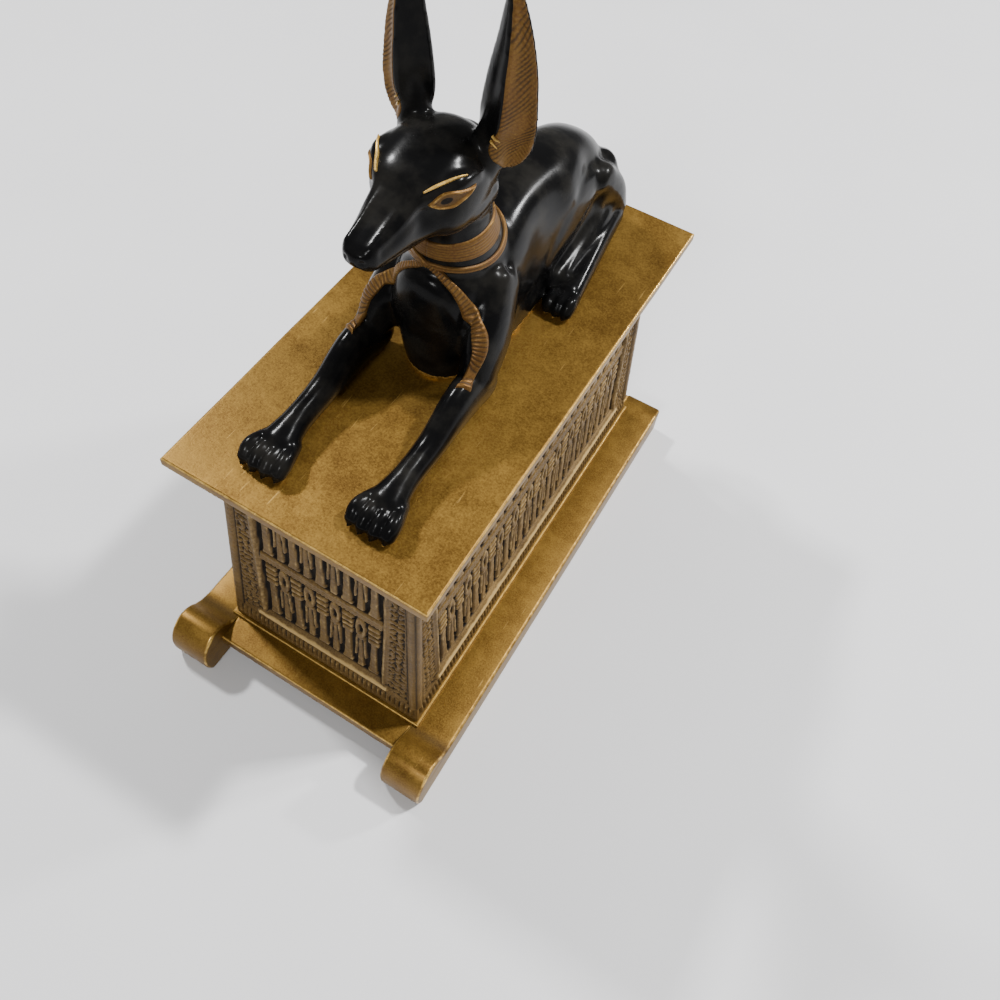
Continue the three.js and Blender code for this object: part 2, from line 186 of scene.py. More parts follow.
def within(distance, soft):
    """1 inside a shape and 0 outside it, from its distance: a smooth step soft wide on either side."""
    return smooth(soft, -soft, distance)


def faded(t, first, last):
    """1 in the middle of t from 0 to 1, with smooth steps to 0 at both ends, first and last long."""
    return smooth(0, first, t) * smooth(1, 1 - last, t)


def bell(x, width):
    """1 where x is 0, falling off on both sides as e to the -(x / width) squared."""
    return np.exp(-(x / width) ** 2)


def spline(values, t):
    """Catmull-Rom through rows of values, evenly spaced, at t from 0 to 1."""
    values = np.asarray(values, float)
    padded = np.vstack([2 * values[0] - values[1], values, 2 * values[-1] - values[-2]])
    spans = len(values) - 1
    place = np.clip(np.asarray(t, float) * spans, 0, spans - 1e-9)
    i = place.astype(int)
    f = (place - i)[:, None]
    p0, p1, p2, p3 = (padded[i + k] for k in range(4))
    return 0.5 * (2 * p1 + (p2 - p0) * f + (2 * p0 - 5 * p1 + 4 * p2 - p3) * f ** 2
                  + (3 * p1 - p0 - 3 * p2 + p3) * f ** 3)


def unit(vectors):
    """Vectors divided by their lengths."""
    return vectors / np.maximum(np.linalg.norm(vectors, axis=-1, keepdims=True), 1e-12)


def metres(points):
    """Places in the CAD frame, in metres, of points in this script's millimetres."""
    return (np.asarray(points, float) + (0.0, SHIFT_Y, 0.0)) * MM


def over_slab(places, side=1):
    """Places given with heights over the slab, on one side of the middle plane."""
    return np.asarray(places, float) * (side, 1, 1) + (0, 0, SLAB_TOP)


def shares(rows, columns):
    """Row and column numbers as shares from 0 to 1, each on the whole grid."""
    return np.meshgrid(np.linspace(0, 1, rows), np.linspace(0, 1, columns), indexing="ij")


def grid_quads(rows, columns, wrap_columns=False):
    """Quads of a grid of points, row by row, facing along column direction x row direction."""
    r = np.arange(rows - 1)[:, None]
    c = np.arange(columns if wrap_columns else columns - 1)[None, :]
    c1 = (c + 1) % columns
    corners = [r * columns + c, r * columns + c1, (r + 1) * columns + c1, (r + 1) * columns + c]
    return np.stack(corners, -1).reshape(-1, 4)


def border_of(rows, columns):
    """Numbers of a grid's outer points, once round."""
    return np.hstack([
        np.arange(columns), np.arange(1, rows) * columns + columns - 1,
        (rows - 1) * columns + np.arange(columns - 2, -1, -1), np.arange(rows - 2, 0, -1) * columns,
    ])


def shell(top, under):
    """A closed body from two grids of points, joined round their border: (points, quads)."""
    rows, columns, _ = top.shape
    count = rows * columns
    face = grid_quads(rows, columns)
    border = border_of(rows, columns)
    following = np.roll(border, -1)
    rim = np.stack([border, border + count, following + count, following], -1)
    points = np.vstack([top.reshape(-1, 3), under.reshape(-1, 3)])
    return points, np.vstack([face, face[:, ::-1] + count, rim])


def linked(name, data):
    """An object of this name in the scene, with the mesh, lamp or camera given."""
    thing = bpy.data.objects.new(name, data)
    bpy.context.scene.collection.objects.link(thing)
    return thing


def mesh_object(name, points, quads, tris=NO_TRIS, attributes=None):
    """An object from arrays of points, quads and triangles.

    An attribute has values for the first points, and the other points get 0.
    """
    quads = np.asarray(quads, int)
    loops = np.hstack([quads.ravel(), tris.ravel()]).astype(np.int32)
    sizes = np.repeat([4, 3], [len(quads), len(tris)])
    data = bpy.data.meshes.new(name)
    data.vertices.add(len(points))
    data.vertices.foreach_set("co", np.asarray(points, np.float32).ravel())
    data.loops.add(len(loops))
    data.loops.foreach_set("vertex_index", loops)
    data.polygons.add(len(sizes))
    data.polygons.foreach_set("loop_start", (np.cumsum(sizes) - sizes).astype(np.int32))
    data.polygons.foreach_set("use_smooth", np.ones(len(sizes), bool))
    data.update(calc_edges=True)
    data.validate()
    for key, given in (attributes or {}).items():
        values = np.zeros(len(points), np.float32)
        values[:given.size] = given.ravel()
        data.attributes.new(key, "FLOAT", "POINT").data.foreach_set("value", values)
    return linked(name, data)


def put(name, points, quads, material, node, tris=NO_TRIS, attributes=None):
    """Makes a piece of the object from points in metres, parents it to the root body, and hides the CAD node
    it stands for.
    """
    piece = mesh_object(name, points, quads, tris, attributes)
    piece.data.materials.append(material)
    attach(piece, "root")
    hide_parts(node)
    return piece


def read(things, key, width=1, kind=np.int32):
    """An array of one property of a mesh's vertices, loops or polygons."""
    values = np.zeros(len(things) * width, kind)
    things.foreach_get(key, values)
    return values


def taken(piece):
    """The points, quads and triangles of a scratch object, its modifiers applied, and it gone."""
    graph = bpy.context.evaluated_depsgraph_get()
    result = piece.evaluated_get(graph).to_mesh()
    points = read(result.vertices, "co", 3, np.float32)
    corners = read(result.loops, "vertex_index")
    sizes = read(result.polygons, "loop_total")
    starts = np.cumsum(sizes) - sizes
    quads = corners[starts[sizes == 4][:, None] + np.arange(4)]
    tris = corners[starts[sizes == 3][:, None] + np.arange(3)]
    piece.evaluated_get(graph).to_mesh_clear()
    old = piece.data
    bpy.data.objects.remove(piece)
    bpy.data.meshes.remove(old)
    return points.reshape(-1, 3).astype(float), quads, tris


# Lofted bodies

def loft(stations, sides=28, steps=26, power=2.0, blunt=1.0, cap=6):
    """A closed body along a smooth line.

    Each station is x, y, height over the slab, half width, half height and, where given, its own
    power. The section is the curve |x/w|^p + |y/h|^p = 1 across the line, and the ends close as
    half ellipses.
    """
    stations = np.array(stations, float)
    stations[:, 2] += SLAB_TOP
    rows = spline(stations, np.linspace(0, 1, steps + 1))
    line = rows[:, :3]
    tangent = unit(np.gradient(line, axis=0))
    sizes = rows[:, 3:5]
    powers = rows[:, 5] if stations.shape[1] > 5 else np.full(len(rows), float(power))
    angle = np.linspace(0, pi / 2, cap + 1)[:-1]
    reach = [blunt * sizes[end].min() for end in (0, -1)]
    head = line[0] - tangent[0] * reach[0] * np.cos(angle)[:, None]
    tail = line[-1] + tangent[-1] * reach[1] * np.cos(angle)[::-1, None]
    shrink = np.hstack([np.sin(angle), np.ones(len(rows)), np.sin(angle)[::-1]])
    line = np.vstack([head, line, tail])
    kept = np.clip(np.arange(-cap, len(rows) + cap), 0, len(rows) - 1)
    tangent, powers = tangent[kept], powers[kept]
    sizes = sizes[kept] * np.maximum(shrink, 1e-4)[:, None]
    up = unit(np.cross((1.0, 0.0, 0.0), tangent))
    side = unit(np.cross(tangent, up))
    around = 2 * pi * np.arange(sides)[None, :] / sides
    c, s = np.cos(around), np.sin(around)
    e = (2 / powers)[:, None]
    x = sizes[:, :1] * np.sign(c) * np.abs(c) ** e
    y = sizes[:, 1:] * np.sign(s) * np.abs(s) ** e
    points = line[:, None, :] + side[:, None, :] * x[..., None] + up[:, None, :] * y[..., None]
    return points.reshape(-1, 3), grid_quads(len(line), sides, wrap_columns=True)[:, ::-1]


def both_sides(stations, **options):
    """A loft on the left, and its mirror image."""
    other = np.array(stations, float)
    other[:, 0] *= -1
    return [loft(stations, **options), loft(other, **options)]


def relaxed(points, quads, passes, pull=0.5, push=-0.53):
    """Taubin smoothing: each pass moves a point towards its neighbours' mean and then back out."""
    ends = np.vstack([quads[:, [k, (k + 1) % 4]] for k in range(4)])
    ends = np.unique(np.sort(ends, 1), axis=0)
    a, b = np.vstack([ends, ends[:, ::-1]]).T
    count = np.maximum(np.bincount(a, minlength=len(points)), 1)[:, None]
    for _ in range(passes):
        for weight in (pull, push):
            total = np.stack([np.bincount(a, points[b, k], len(points)) for k in range(3)], -1)
            points = points + weight * (total / count - points)
    return points


def united(parts, voxel, passes):
    """The union of closed bodies as one even mesh, by a voxel remesh, and smoothed."""
    starts = np.cumsum([0] + [len(points) for points, _ in parts])
    quads = np.vstack([quads + start for (_, quads), start in zip(parts, starts)])
    piece = mesh_object("union", np.vstack([points for points, _ in parts]), quads)
    remesh = piece.modifiers.new("remesh", "REMESH")
    remesh.mode = "VOXEL"
    remesh.voxel_size = voxel
    remesh.adaptivity = 0.0
    points, quads, _ = taken(piece)
    return relaxed(points, quads, passes), quads


def diagonals_crossed(points, quads):
    """The cross products of the quads' diagonals, which point outwards and grow with the area."""
    a, b, c, d = (points[quads[:, k]] for k in range(4))
    return np.cross(c - a, d - b)


def normals_of(points, quads):
    """Outward normals at the points, each the mean over its quads."""
    across = diagonals_crossed(points, quads)
    flat = quads.ravel()
    total = [np.bincount(flat, np.repeat(across[:, k], 4), len(points)) for k in range(3)]
    return unit(np.stack(total, -1))


# The jackal's body

def core_parts():
    """Trunk, belly, breast, neck, shoulders and haunches: what flows together softly."""
    trunk = [
        [0, -9.5, 12.7, 7.6, 13.4], [0, -4, 13.7, 10.2, 14.2], [0, 6, 14.1, 10.2, 14.8],
        [0, 18, 13.9, 9.4, 14.8], [0, 29, 12.9, 9.2, 14], [0, 38, 10.1, 8.2, 11.8],
        [0, 45, 6.3, 6, 7.6],
    ]
    belly = [
        [0, -5, 3.5, 8.4, 7], [0, 6, 4.2, 9.2, 8], [0, 24, 4.2, 9, 8], [0, 42, 3.6, 8.4, 6.6],
    ]
    breast = [[0, -6.8, -1.7, 5.8, 5.2], [0, -7.4, 9.3, 7.6, 6.2], [0, -6.6, 21.3, 7.4, 5.8]]
    neck = [
        [0, 3, 17.3, 9, 9.5], [0, -3.2, 26.3, 7.6, 8.4], [0, -4.9, 34.3, 6.5, 6.9],
        [0, -5.6, 41.4, 6.3, 6.5],
    ]
    shoulder = [[8, -1, 19.3, 3.4, 6], [9.8, -7, 12.8, 3.8, 6.4], [11, -12, 6.8, 3.2, 4.6]]
    haunch = [[5, 42, 9.5, 5.2, 8], [6.8, 39, 12.6, 4.3, 7], [7.9, 37, 15.9, 3, 3.7]]
    shin = [[8.4, 38, 15.3, 2.7, 3.7], [9.4, 42.8, 10, 2.7, 3.5], [10, 45, 4.5, 2.5, 3.1]]
    foot_base = [[8.4, 41, 5, 3.4, 5.4], [9.6, 31, 3.8, 3.2, 4.6], [10.6, 21, 2.8, 2.8, 3.4]]
    thigh = [
        [6.6, 42, 7, 3.4, 8], [7, 33, 9, 3.2, 11.5], [7, 24, 8.6, 3.1, 11],
        [7.2, 17, 6.4, 2.8, 8.6],
    ]
    parts = [
        loft(trunk, power=2.3, blunt=0.55, steps=40, sides=40),
        loft(belly, power=3.2, blunt=0.5, steps=30, sides=40),
        loft(breast),
        loft(neck, blunt=0.5),
    ]
    for stations in (shoulder, haunch, shin, foot_base):
        parts += both_sides(stations)
    return parts + both_sides(thigh, power=2.5, blunt=0.7)


def head_parts():
    """Skull and muzzle: round behind, and boxy with a flat top from the brow to the nose."""
    skull = [
        [0, -2.4, 43.4, 5.2, 5.4, 2], [0, -6.2, 44.1, 7.8, 7.6, 2.2], [0, -11.5, 44.6, 8.6, 8, 2.3],
        [0, -16.2, 44.9, 7.6, 6.4, 2.6], [0, -20, 44.3, 4.9, 4.9, 3], [0, -24.5, 43.6, 3.8, 3.5, 3.4],
        [0, -28.8, 43.3, 3, 2.5, 3.4],
    ]
    nose = [[0, -28.2, 43.8, 2.2, 1.5], [0, -30.2, 43.5, 2.3, 1.7]]
    jaw = [[0, -9, 40.3, 4.6, 4], [0, -18, 40.6, 3.6, 2.8], [0, -26.8, 41.3, 2.2, 1.7]]
    brow = [[4.2, -17.6, 48.2, 1.7, 1.2], [6, -14.6, 48.9, 1.9, 1.6], [6.6, -11, 48.2, 1.6, 1.6]]
    cheek = [[4.6, -15.6, 44.2, 2.8, 3], [5.6, -11, 42.6, 3, 3.4], [5.3, -6, 42, 3, 3.6]]
    ear_root = [
        [4.2, -6.4, 45, 4, 4.2], [5.9, -6.2, 48.8, 3, 3], [6.6, -5.8, 53, 2.2, 1.9],
        [7.4, -5.6, 58.6, 1.5, 1.2],
    ]
    parts = [
        loft(skull, steps=60, sides=56, blunt=0.75, cap=8),
        loft(nose, power=2.6, steps=8, blunt=0.6),
        loft(jaw, power=2.4),
    ]
    for stations in (brow, cheek, ear_root):
        parts += both_sides(stations)
    return parts + [ear(-1), ear(1)]


def ear_hollow(rows, t):
    """x and y of the hollow facet of the ear, from its lateral edge (t 0) to its ridge (t 1)."""
    ridge, lateral, depth = (rows[:, k][:, None] for k in (2, 3, 4))
    edge, front = EAR_PLANE + 0.10 * depth, EAR_PLANE - 0.85 * depth
    return lateral + (ridge - lateral) * t, edge + (front - edge) * t + 0.38 * depth * np.sin(pi * t)


def ear(side):
    """A pricked ear, height by height: a flat facet inside the ridge, a hollow one outside, a round back.

    Round each section: ridge to medial edge straight, medial to lateral edge a half ellipse behind,
    and lateral edge to ridge bowed inwards by a sine. The first and last sections shrink to a point.
    """
    rows = spline(EAR_ROWS, np.linspace(0, 1, 120))
    t = np.linspace(0, 1, 22, endpoint=False)[None, :]
    medial, ridge, lateral, depth = (rows[:, k][:, None] for k in range(1, 5))
    front, edge, back = EAR_PLANE - 0.85 * depth, EAR_PLANE + 0.10 * depth, 0.60 * depth
    swing = pi * t
    flat = (ridge + (medial - ridge) * t, front + (edge - front) * t - 0.10 * depth * np.sin(swing))
    behind = ((medial + lateral) / 2 - (lateral - medial) / 2 * np.cos(swing), edge + back * np.sin(swing))
    x, y = (np.concatenate(parts, 1) for parts in zip(flat, behind, ear_hollow(rows, t)))
    points = np.stack([side * x, y, rows[:, :1] + SLAB_TOP + 0 * x], -1)
    for end in (0, -1):
        points[end] = points[end].mean(0)
    quads = grid_quads(*x.shape, wrap_columns=True)
    return points.reshape(-1, 3), quads[:, ::-1] if side > 0 else quads


def toes(side, x, y, spread, length, count=4, stout=0.15):
    """The toes of a paw: round in section, arched, each with a small blunt nail."""
    parts = []
    for place in (np.arange(count) - (count - 1) / 2) / 4:
        root_x = side * x + place * spread * 0.66
        tip_x = side * x + place * spread
        reach = length * (1 - 0.9 * place * place)
        thick = spread * stout
        parts.append(loft([
            [root_x, y + 2.6, 2.0, thick, 1.7], [tip_x, y - reach * 0.35, 2.6, thick, 1.9],
            [tip_x, y - reach * 0.86, 1.7, thick * 0.95, 1.6],
        ], sides=20, steps=18))
        parts.append(loft([
            [tip_x, y - reach, 1.2, spread * 0.065, 0.55], [tip_x, y - reach - 0.9, 0.6, spread * 0.04, 0.35],
        ], sides=12, steps=6))
    return parts


def limb_parts():
    """Forearms, paws, hind feet and the tail."""
    forearm = [
        [11, -11, 4.9, 3.2, 5], [11.1, -18.6, 5.5, 2.9, 5], [11.1, -27, 3.5, 2.5, 3.3],
        [11, -34.5, 3, 2.5, 2.8], [10.9, -40, 2.6, 3.5, 2.5],
    ]
    hind_foot = [[10.3, 43.6, 3.3, 2.6, 3.1], [11.7, 32, 3, 2.7, 3], [13.2, 19, 2.5, 2.9, 2.5]]
    tail = [
        [0, 42, 9.3, 3.6, 3.6], [0, 49.6, 7, 2.3, 2.3], [0, 54.9, 1.3, 2.3, 1.9],
        [0, 55.4, -7.7, 2.5, 1.9], [0, 51.1, -19.7, 2.9, 1.9], [0, 50.9, -31.7, 2.5, 1.7],
        [0, 51.4, -39.7, 1, 1],
    ]
    parts = both_sides(forearm, steps=40) + both_sides(hind_foot, steps=40)
    for side in (-1, 1):
        parts += toes(side, 10.9, -41.6, 9.3, 4)
        parts += toes(side, 13.3, 17, 7.6, 3, 3, 0.19)
    return parts + [loft(tail, steps=60, sides=32)]


def dent(points, normals, centre, size, depth):
    """Pushes points in by depth near a centre, falling off as a bell of the given size."""
    away = (points - centre) / size
    return points - normals * (depth * np.exp(-(away ** 2).sum(1)))[:, None]


def groove(points, normals, line, width, depth):
    """Pushes points in near a polyline, by depth, as a bell across the line of the given width."""
    best = np.full(len(points), 1e9)
    for a, b in zip(line[:-1], line[1:]):
        span = b - a
        t = np.clip(((points - a) @ span) / (span @ span), 0, 1)
        best = np.minimum(best, ((points - a - t[:, None] * span) ** 2).sum(1))
    return points - normals * (depth * np.exp(-best / width ** 2))[:, None]


def carved(points, quads):
    """Presses nostrils, mouth, bridge of the nose, haunches and folds of the throat into the skin.

    A mark is a shape, places over the slab, a size or width, and a depth, which is below 0 for a crest.
    """
    marks = [
        (dent, (1.5, -31, 43.6), (0.55, 0.7, 0.5), 0.5),
        (groove, [(1.2, -31.2, 41.8), (2.9, -28, 41.7), (3.9, -23.5, 41.6), (5.4, -19.4, 41.3)],
         0.45, 0.32),
        (dent, (6.6, -17.3, 46.6), (1.5, 2.4, 1.5), 0.55),
        (dent, (5.4, -20.4, 45.6), (1.8, 1.8, 2.2), 0.85),
        (groove, [(2.1, -19.6, 48.3), (2, -24.8, 46.9), (1.9, -29.4, 45.4)], 0.55, -0.30),
        (groove, [(4.4, -20.5, 46.6), (3.5, -24.5, 45.4), (3, -28, 44.4)], 0.9, 0.30),
        (groove, [(8.6, -6, 8), (10.6, -4, 16), (9.2, 0, 23)], 1.2, 0.5),
        (groove, [(10.2, 20, 7), (10.2, 27, 8.4), (9.6, 34, 12)], 2.6, 1.1),
        (groove, [(12.4, 22, 5.4), (11.6, 31, 6.2), (10.6, 38, 8)], 1, 0.35),
        (dent, (9.8, 6, 11), (3, 6, 7), 0.6),
        (dent, (8.2, 13, 20), (4, 6.5, 6), 0.9),
        (dent, (7, 33.5, 20), (3, 3.6, 4), 0.6),
        (dent, (8.4, 24, 21), (2.6, 3, 4), -0.5),
    ]
    for k in range(3):
        low = 39.6 - 1.7 * k
        fold = [(5.2, -12.0 + 1.6 * k, low), (7, -6.0 + 1.2 * k, low - 0.4), (6.6, -1.0 + k, low + 0.4)]
        marks.append((groove, fold, 0.5, 0.16))
    normals = normals_of(points, quads)
    for side in (-1, 1):
        for press, places, size, depth in marks:
            points = press(points, normals, over_slab(places, side), size, depth)
    return points


def slab_cut(points, quads):
    """Takes the slab and what lies under it away from the jackal, but not its tail behind."""
    skin = mesh_object("skin", points, quads)
    low = np.array([-40.0, -70.0, SLAB_TOP - 40.0])
    high = np.array([40.0, SLAB_HALF_LENGTH + 0.05, REST])
    corners = np.array(list(np.ndindex(2, 2, 2))) * (high - low) + low
    faces = [[0, 1, 3, 2], [4, 6, 7, 5], [0, 4, 5, 1], [2, 3, 7, 6], [0, 2, 6, 4], [1, 5, 7, 3]]
    cutter = mesh_object("cutter", corners, faces)
    cut = skin.modifiers.new("cut", "BOOLEAN")
    cut.operation = "DIFFERENCE"
    cut.solver = "EXACT"
    cut.object = cutter
    split = skin.modifiers.new("split", "TRIANGULATE")
    split.min_vertices = 5
    result = taken(skin)
    bpy.data.objects.remove(cutter)
    return result


def jackal(black):
    """The whole animal as one piece, with 'gilt' rising to 1 where it meets the slab."""
    core = united(core_parts(), VOXEL_CORE, 26)
    head = united(head_parts(), VOXEL_HEAD, 10)
    points, quads = united([core, head] + limb_parts(), VOXEL_SKIN, 9)
    points = relaxed(carved(points, quads), quads, 1)
    points, quads, tris = slab_cut(points, quads)
    z = points[:, 2]
    on_slab = (z > SLAB_TOP - 0.3) & (points[:, 1] < SLAB_HALF_LENGTH - GILT_REAR_GAP)
    gilt = np.where(on_slab, np.clip((SLAB_TOP + GILT_HEIGHT - z) * 0.9, -3, 1), -3.0)
    return put("jackal_body", metres(points), quads, black, "jackal", tris, {"gilt": gilt})


# Strips and patches laid on the jackal

def laid(grid, body, passes, sideways=False):
    """Lays a grid of points on the body, by its nearest point or along X, and evens it out in passes."""
    rows, columns, _ = grid.shape
    scratch = mesh_object("laid", metres(grid.reshape(-1, 3)), grid_quads(rows, columns))
    wrap = scratch.modifiers.new("wrap", "SHRINKWRAP")
    wrap.target = body
    wrap.wrap_method = "PROJECT" if sideways else "NEAREST_SURFACEPOINT"
    wrap.use_project_x = sideways
    wrap.use_negative_direction = True
    grid = taken(scratch)[0].reshape(rows, columns, 3)
    for _ in range(passes):
        grid[1:-1] += 0.25 * (grid[:-2] + grid[2:] - 2 * grid[1:-1])
        grid[:, 1:-1] += 0.25 * (grid[:, :-2] + grid[:, 2:] - 2 * grid[:, 1:-1])
    return grid


def trimming(name, grid, height, outward, material, wear_and_glint, wash, sink=0.5):
    """Puts a gold piece on the jackal: a laid grid raised by height, its under side sunk in.

    Heights are in millimetres and the grid in metres. The wear is partly rubbed wear and partly painted
    glints on crests and rims; the under side has no wear and no wash.
    """
    normals = unit(np.cross(np.gradient(grid, axis=1), np.gradient(grid, axis=0)))
    if np.mean((normals * outward).sum(-1)) < 0:
        grid, height, normals = grid[:, ::-1], height[:, ::-1], -normals[:, ::-1]
    points, quads = shell(grid + normals * (height * MM)[..., None], grid - normals * (sink * MM))
    return put(name, points, quads, material, "jackal", attributes={"wear_and_glint": wear_and_glint, "wash": wash})


def neck_ring(name, body, low, high, height, material, ribs, rows=26, columns=240):
    """A band round the neck, ribbed along its length.

    low and high give its edges over the slab at front, side and back: front and back are blended
    by a cosine of the turn, and the side is reached by its squared sine.
    """
    up, turn = shares(rows, columns)
    turn = turn * 2 * pi
    share = (1 - np.cos(turn)) / 2
    lower, upper = (
        front * (1 - share) + back * share + (beside - (front + back) / 2) * np.sin(turn) ** 2
        for front, beside, back in (low, high))
    z = SLAB_TOP + lower + (upper - lower) * up
    ring = [NECK_RADIUS * np.sin(turn), NECK_Y - NECK_RADIUS * np.cos(turn), z]
    grid = laid(np.stack(ring, -1), body, 6)
    grid[:, -1] = grid[:, 0] = (grid[:, 0] + grid[:, -1]) / 2
    lines = np.abs(np.sin(up * pi * ribs + 0.25 * wobble(turn * 8, up, 3, 6.0)))
    shape = faded(up, 0.10, 0.10) * height + 0.10 * lines - 0.05
    outward = np.stack([np.sin(turn), -np.cos(turn), 0 * turn], -1)
    # Paler rib crests: rubbed wear and painted glints; darker between the ribs: wash
    return trimming(name, grid, shape, outward, material, lines ** 3 * 0.25, (1 - lines) * 0.55)


def ribbon(name, body, path, half_widths, height, material, ribs=0, rows=150, columns=16):
    """A raised ribbon along a path on the body, crossed by ribs.

    The path and its half widths are splines; across the ribbon the grid is level with the body,
    and its height is a flat-topped bump with a sine of ribs along it.
    """
    t, s = shares(rows, columns)
    s = 2 * s - 1
    line = spline(path, t[:, 0])
    half = spline(np.array(half_widths, float)[:, None], t[:, 0])
    outward = line - BODY_MIDDLE
    outward[:, 2] = RIBBON_LIFT
    outward = unit(outward)[:, None]
    side = unit(np.cross(unit(np.gradient(line, axis=0)), outward[:, 0]))
    grid = laid(line[:, None] + side[:, None] * (half * s)[..., None], body, 5)
    profile = smooth(1.0, 0.72, np.abs(s)) * faded(t, 0.02, 0.015)
    crest = np.abs(np.sin(t * pi * ribs)) if ribs else np.ones(t.shape)
    shape = profile * (height + 0.16 * crest)
    # Paler rib crests: rubbed wear and painted glints; darker between the ribs: wash
    return trimming(name, grid, shape, outward, material,
                    crest ** 3 * 0.30 * profile, (1 - crest) * 0.75 * profile)


def eye(name, side, body, material, rings=34, columns=120):
    """A raised almond rim round a flat eye with a dark pupil, laid on the head from the side.

    The grid runs from the pupil to the outline, a spline through points that go once round it, and
    its height is a round rim near the edge.
    """
    outline = np.array(EYE_OUTLINE + EYE_OUTLINE[:3])
    fine = spline(outline, np.linspace(0, 1, 14 * columns))
    arc = np.linspace(0, len(EYE_OUTLINE) / (len(outline) - 1), columns)
    edge = fine[(arc * (len(fine) - 1)).astype(int)]
    rho = np.linspace(0.02, 1, rings)[:, None] * np.ones((1, columns))
    flat = np.array(EYE_PUPIL) + (edge - EYE_PUPIL)[None] * rho[..., None]
    points = np.stack([np.full(rho.shape, side * 10.5), flat[..., 0], flat[..., 1] + SLAB_TOP], -1)
    grid = laid(points, body, 2, sideways=True)
    rim = bell(rho - EYE_RIM, EYE_RIM_WIDTH)
    shape = 0.10 + 0.24 * rim * smooth(1.0, 0.93, rho) - 0.08 * smooth(0.9, 1.0, rho)
    off = np.hypot(flat[..., 0] - EYE_PUPIL[0], (flat[..., 1] - EYE_PUPIL[1]) / 0.72)
    pupil = smooth(0.90, 0.66, off) * 1.4
    shade = 0.44 * smooth(0.84, 0.6, rho)
    # A paler rim: rubbed wear and painted glints
    return trimming(name, grid, shape, (side, 0.0, 0.0), material,
                    rim * 0.50, np.maximum(pupil, shade * (1 - rim)))


def lining(name, side, body, material, rows=190, columns=34):
    """The gilt hollow of an ear, with slanting hair strokes as fine ridges."""
    stations = spline(EAR_ROWS, np.linspace(0.045, 0.985, rows))
    t = np.linspace(0.03, 0.97, columns)[None, :]
    x, y = ear_hollow(stations, t)
    z = stations[:, :1] + 0 * x
    grid = laid(np.stack([side * x, y, z + SLAB_TOP], -1), body, 3)
    slant = z + 1.05 * (x - 8.0) + 0.5 * wobble(x, z, 21, 7.0)
    hair = np.abs(np.sin(slant * pi / 0.80)) ** 1.5
    patch = smooth(-0.35, 0.35, wobble(x * 1.5, z * 0.6, 23, 4.0))
    rise = np.linspace(0, 1, rows)[:, None]
    shape = faded(t, 0.10, 0.10) * faded(rise, 0.02, 0.015) * (0.14 + 0.10 * hair * (0.35 + 0.65 * patch))
    wash = (1 - hair) * (0.22 + 0.45 * patch) + 0.20 * smooth(0.4, 0.95, t) * smooth(0.1, 0.6, rise)
    # Paler hair ridges: rubbed wear and painted glints
    wear_and_glint = hair ** 4 * patch * 0.16
    return trimming(name, grid, shape, (side * 0.4, -1.0, 0.0), material, wear_and_glint, wash, sink=0.35)


def dress(body, trim, bright):
    """Collar, scarf, brows, eyes and ear linings on the jackal."""
    neck_ring("collar", body, (29.3, 29.2, 30.6), (32.8, 34.0, 35.2), 0.34, trim, 7)
    neck_ring("scarf_band", body, (27.1, 25.7, 27.0), (28.4, 27.2, 28.6), 0.36, trim, 2, rows=14)
    for side, word in ((1, "left"), (-1, "right")):
        ribbon("scarf_end_" + word, body, over_slab(SCARF_PATH, side), SCARF_HALF_WIDTHS, 0.34, trim, 30)
        ribbon("brow_" + word, body, over_slab(BROW_PATH, side), BROW_HALF_WIDTHS, 0.26, bright,
               rows=60, columns=12)
        eye("eye_" + word, side, body, trim)
        lining("ear_lining_" + word, side, body, trim)
        for number, tuft in enumerate(TUFTS, 1):
            ribbon(f"ear_tuft_{word}_{number}", body, over_slab(tuft, side), TUFT_HALF_WIDTHS, 0.30, bright,
                   rows=30, columns=8)
    ribbon("scarf_tie", body, over_slab(SCARF_TIE), TIE_HALF_WIDTHS, 0.40, trim, rows=40)


# Paint: shader maths as Python expressions

class Term:
    """A shader socket that takes part in sums: each operator adds a Math node."""

    def __init__(self, paint, socket):
        self.paint = paint
        self.socket = socket

    def math(self, operation, *values):
        return self.paint.add("Math", dict(enumerate(values)), operation=operation)

    def __add__(self, other):
        return self.math("ADD", self, other)

    def __mul__(self, other):
        return self.math("MULTIPLY", self, other)

    def __sub__(self, other):
        return self.math("SUBTRACT", self, other)

    def __rsub__(self, other):
        return self.math("SUBTRACT", other, self)

    __radd__ = __add__
    __rmul__ = __mul__

    def most(self, other):
        return self.math("MAXIMUM", self, other)


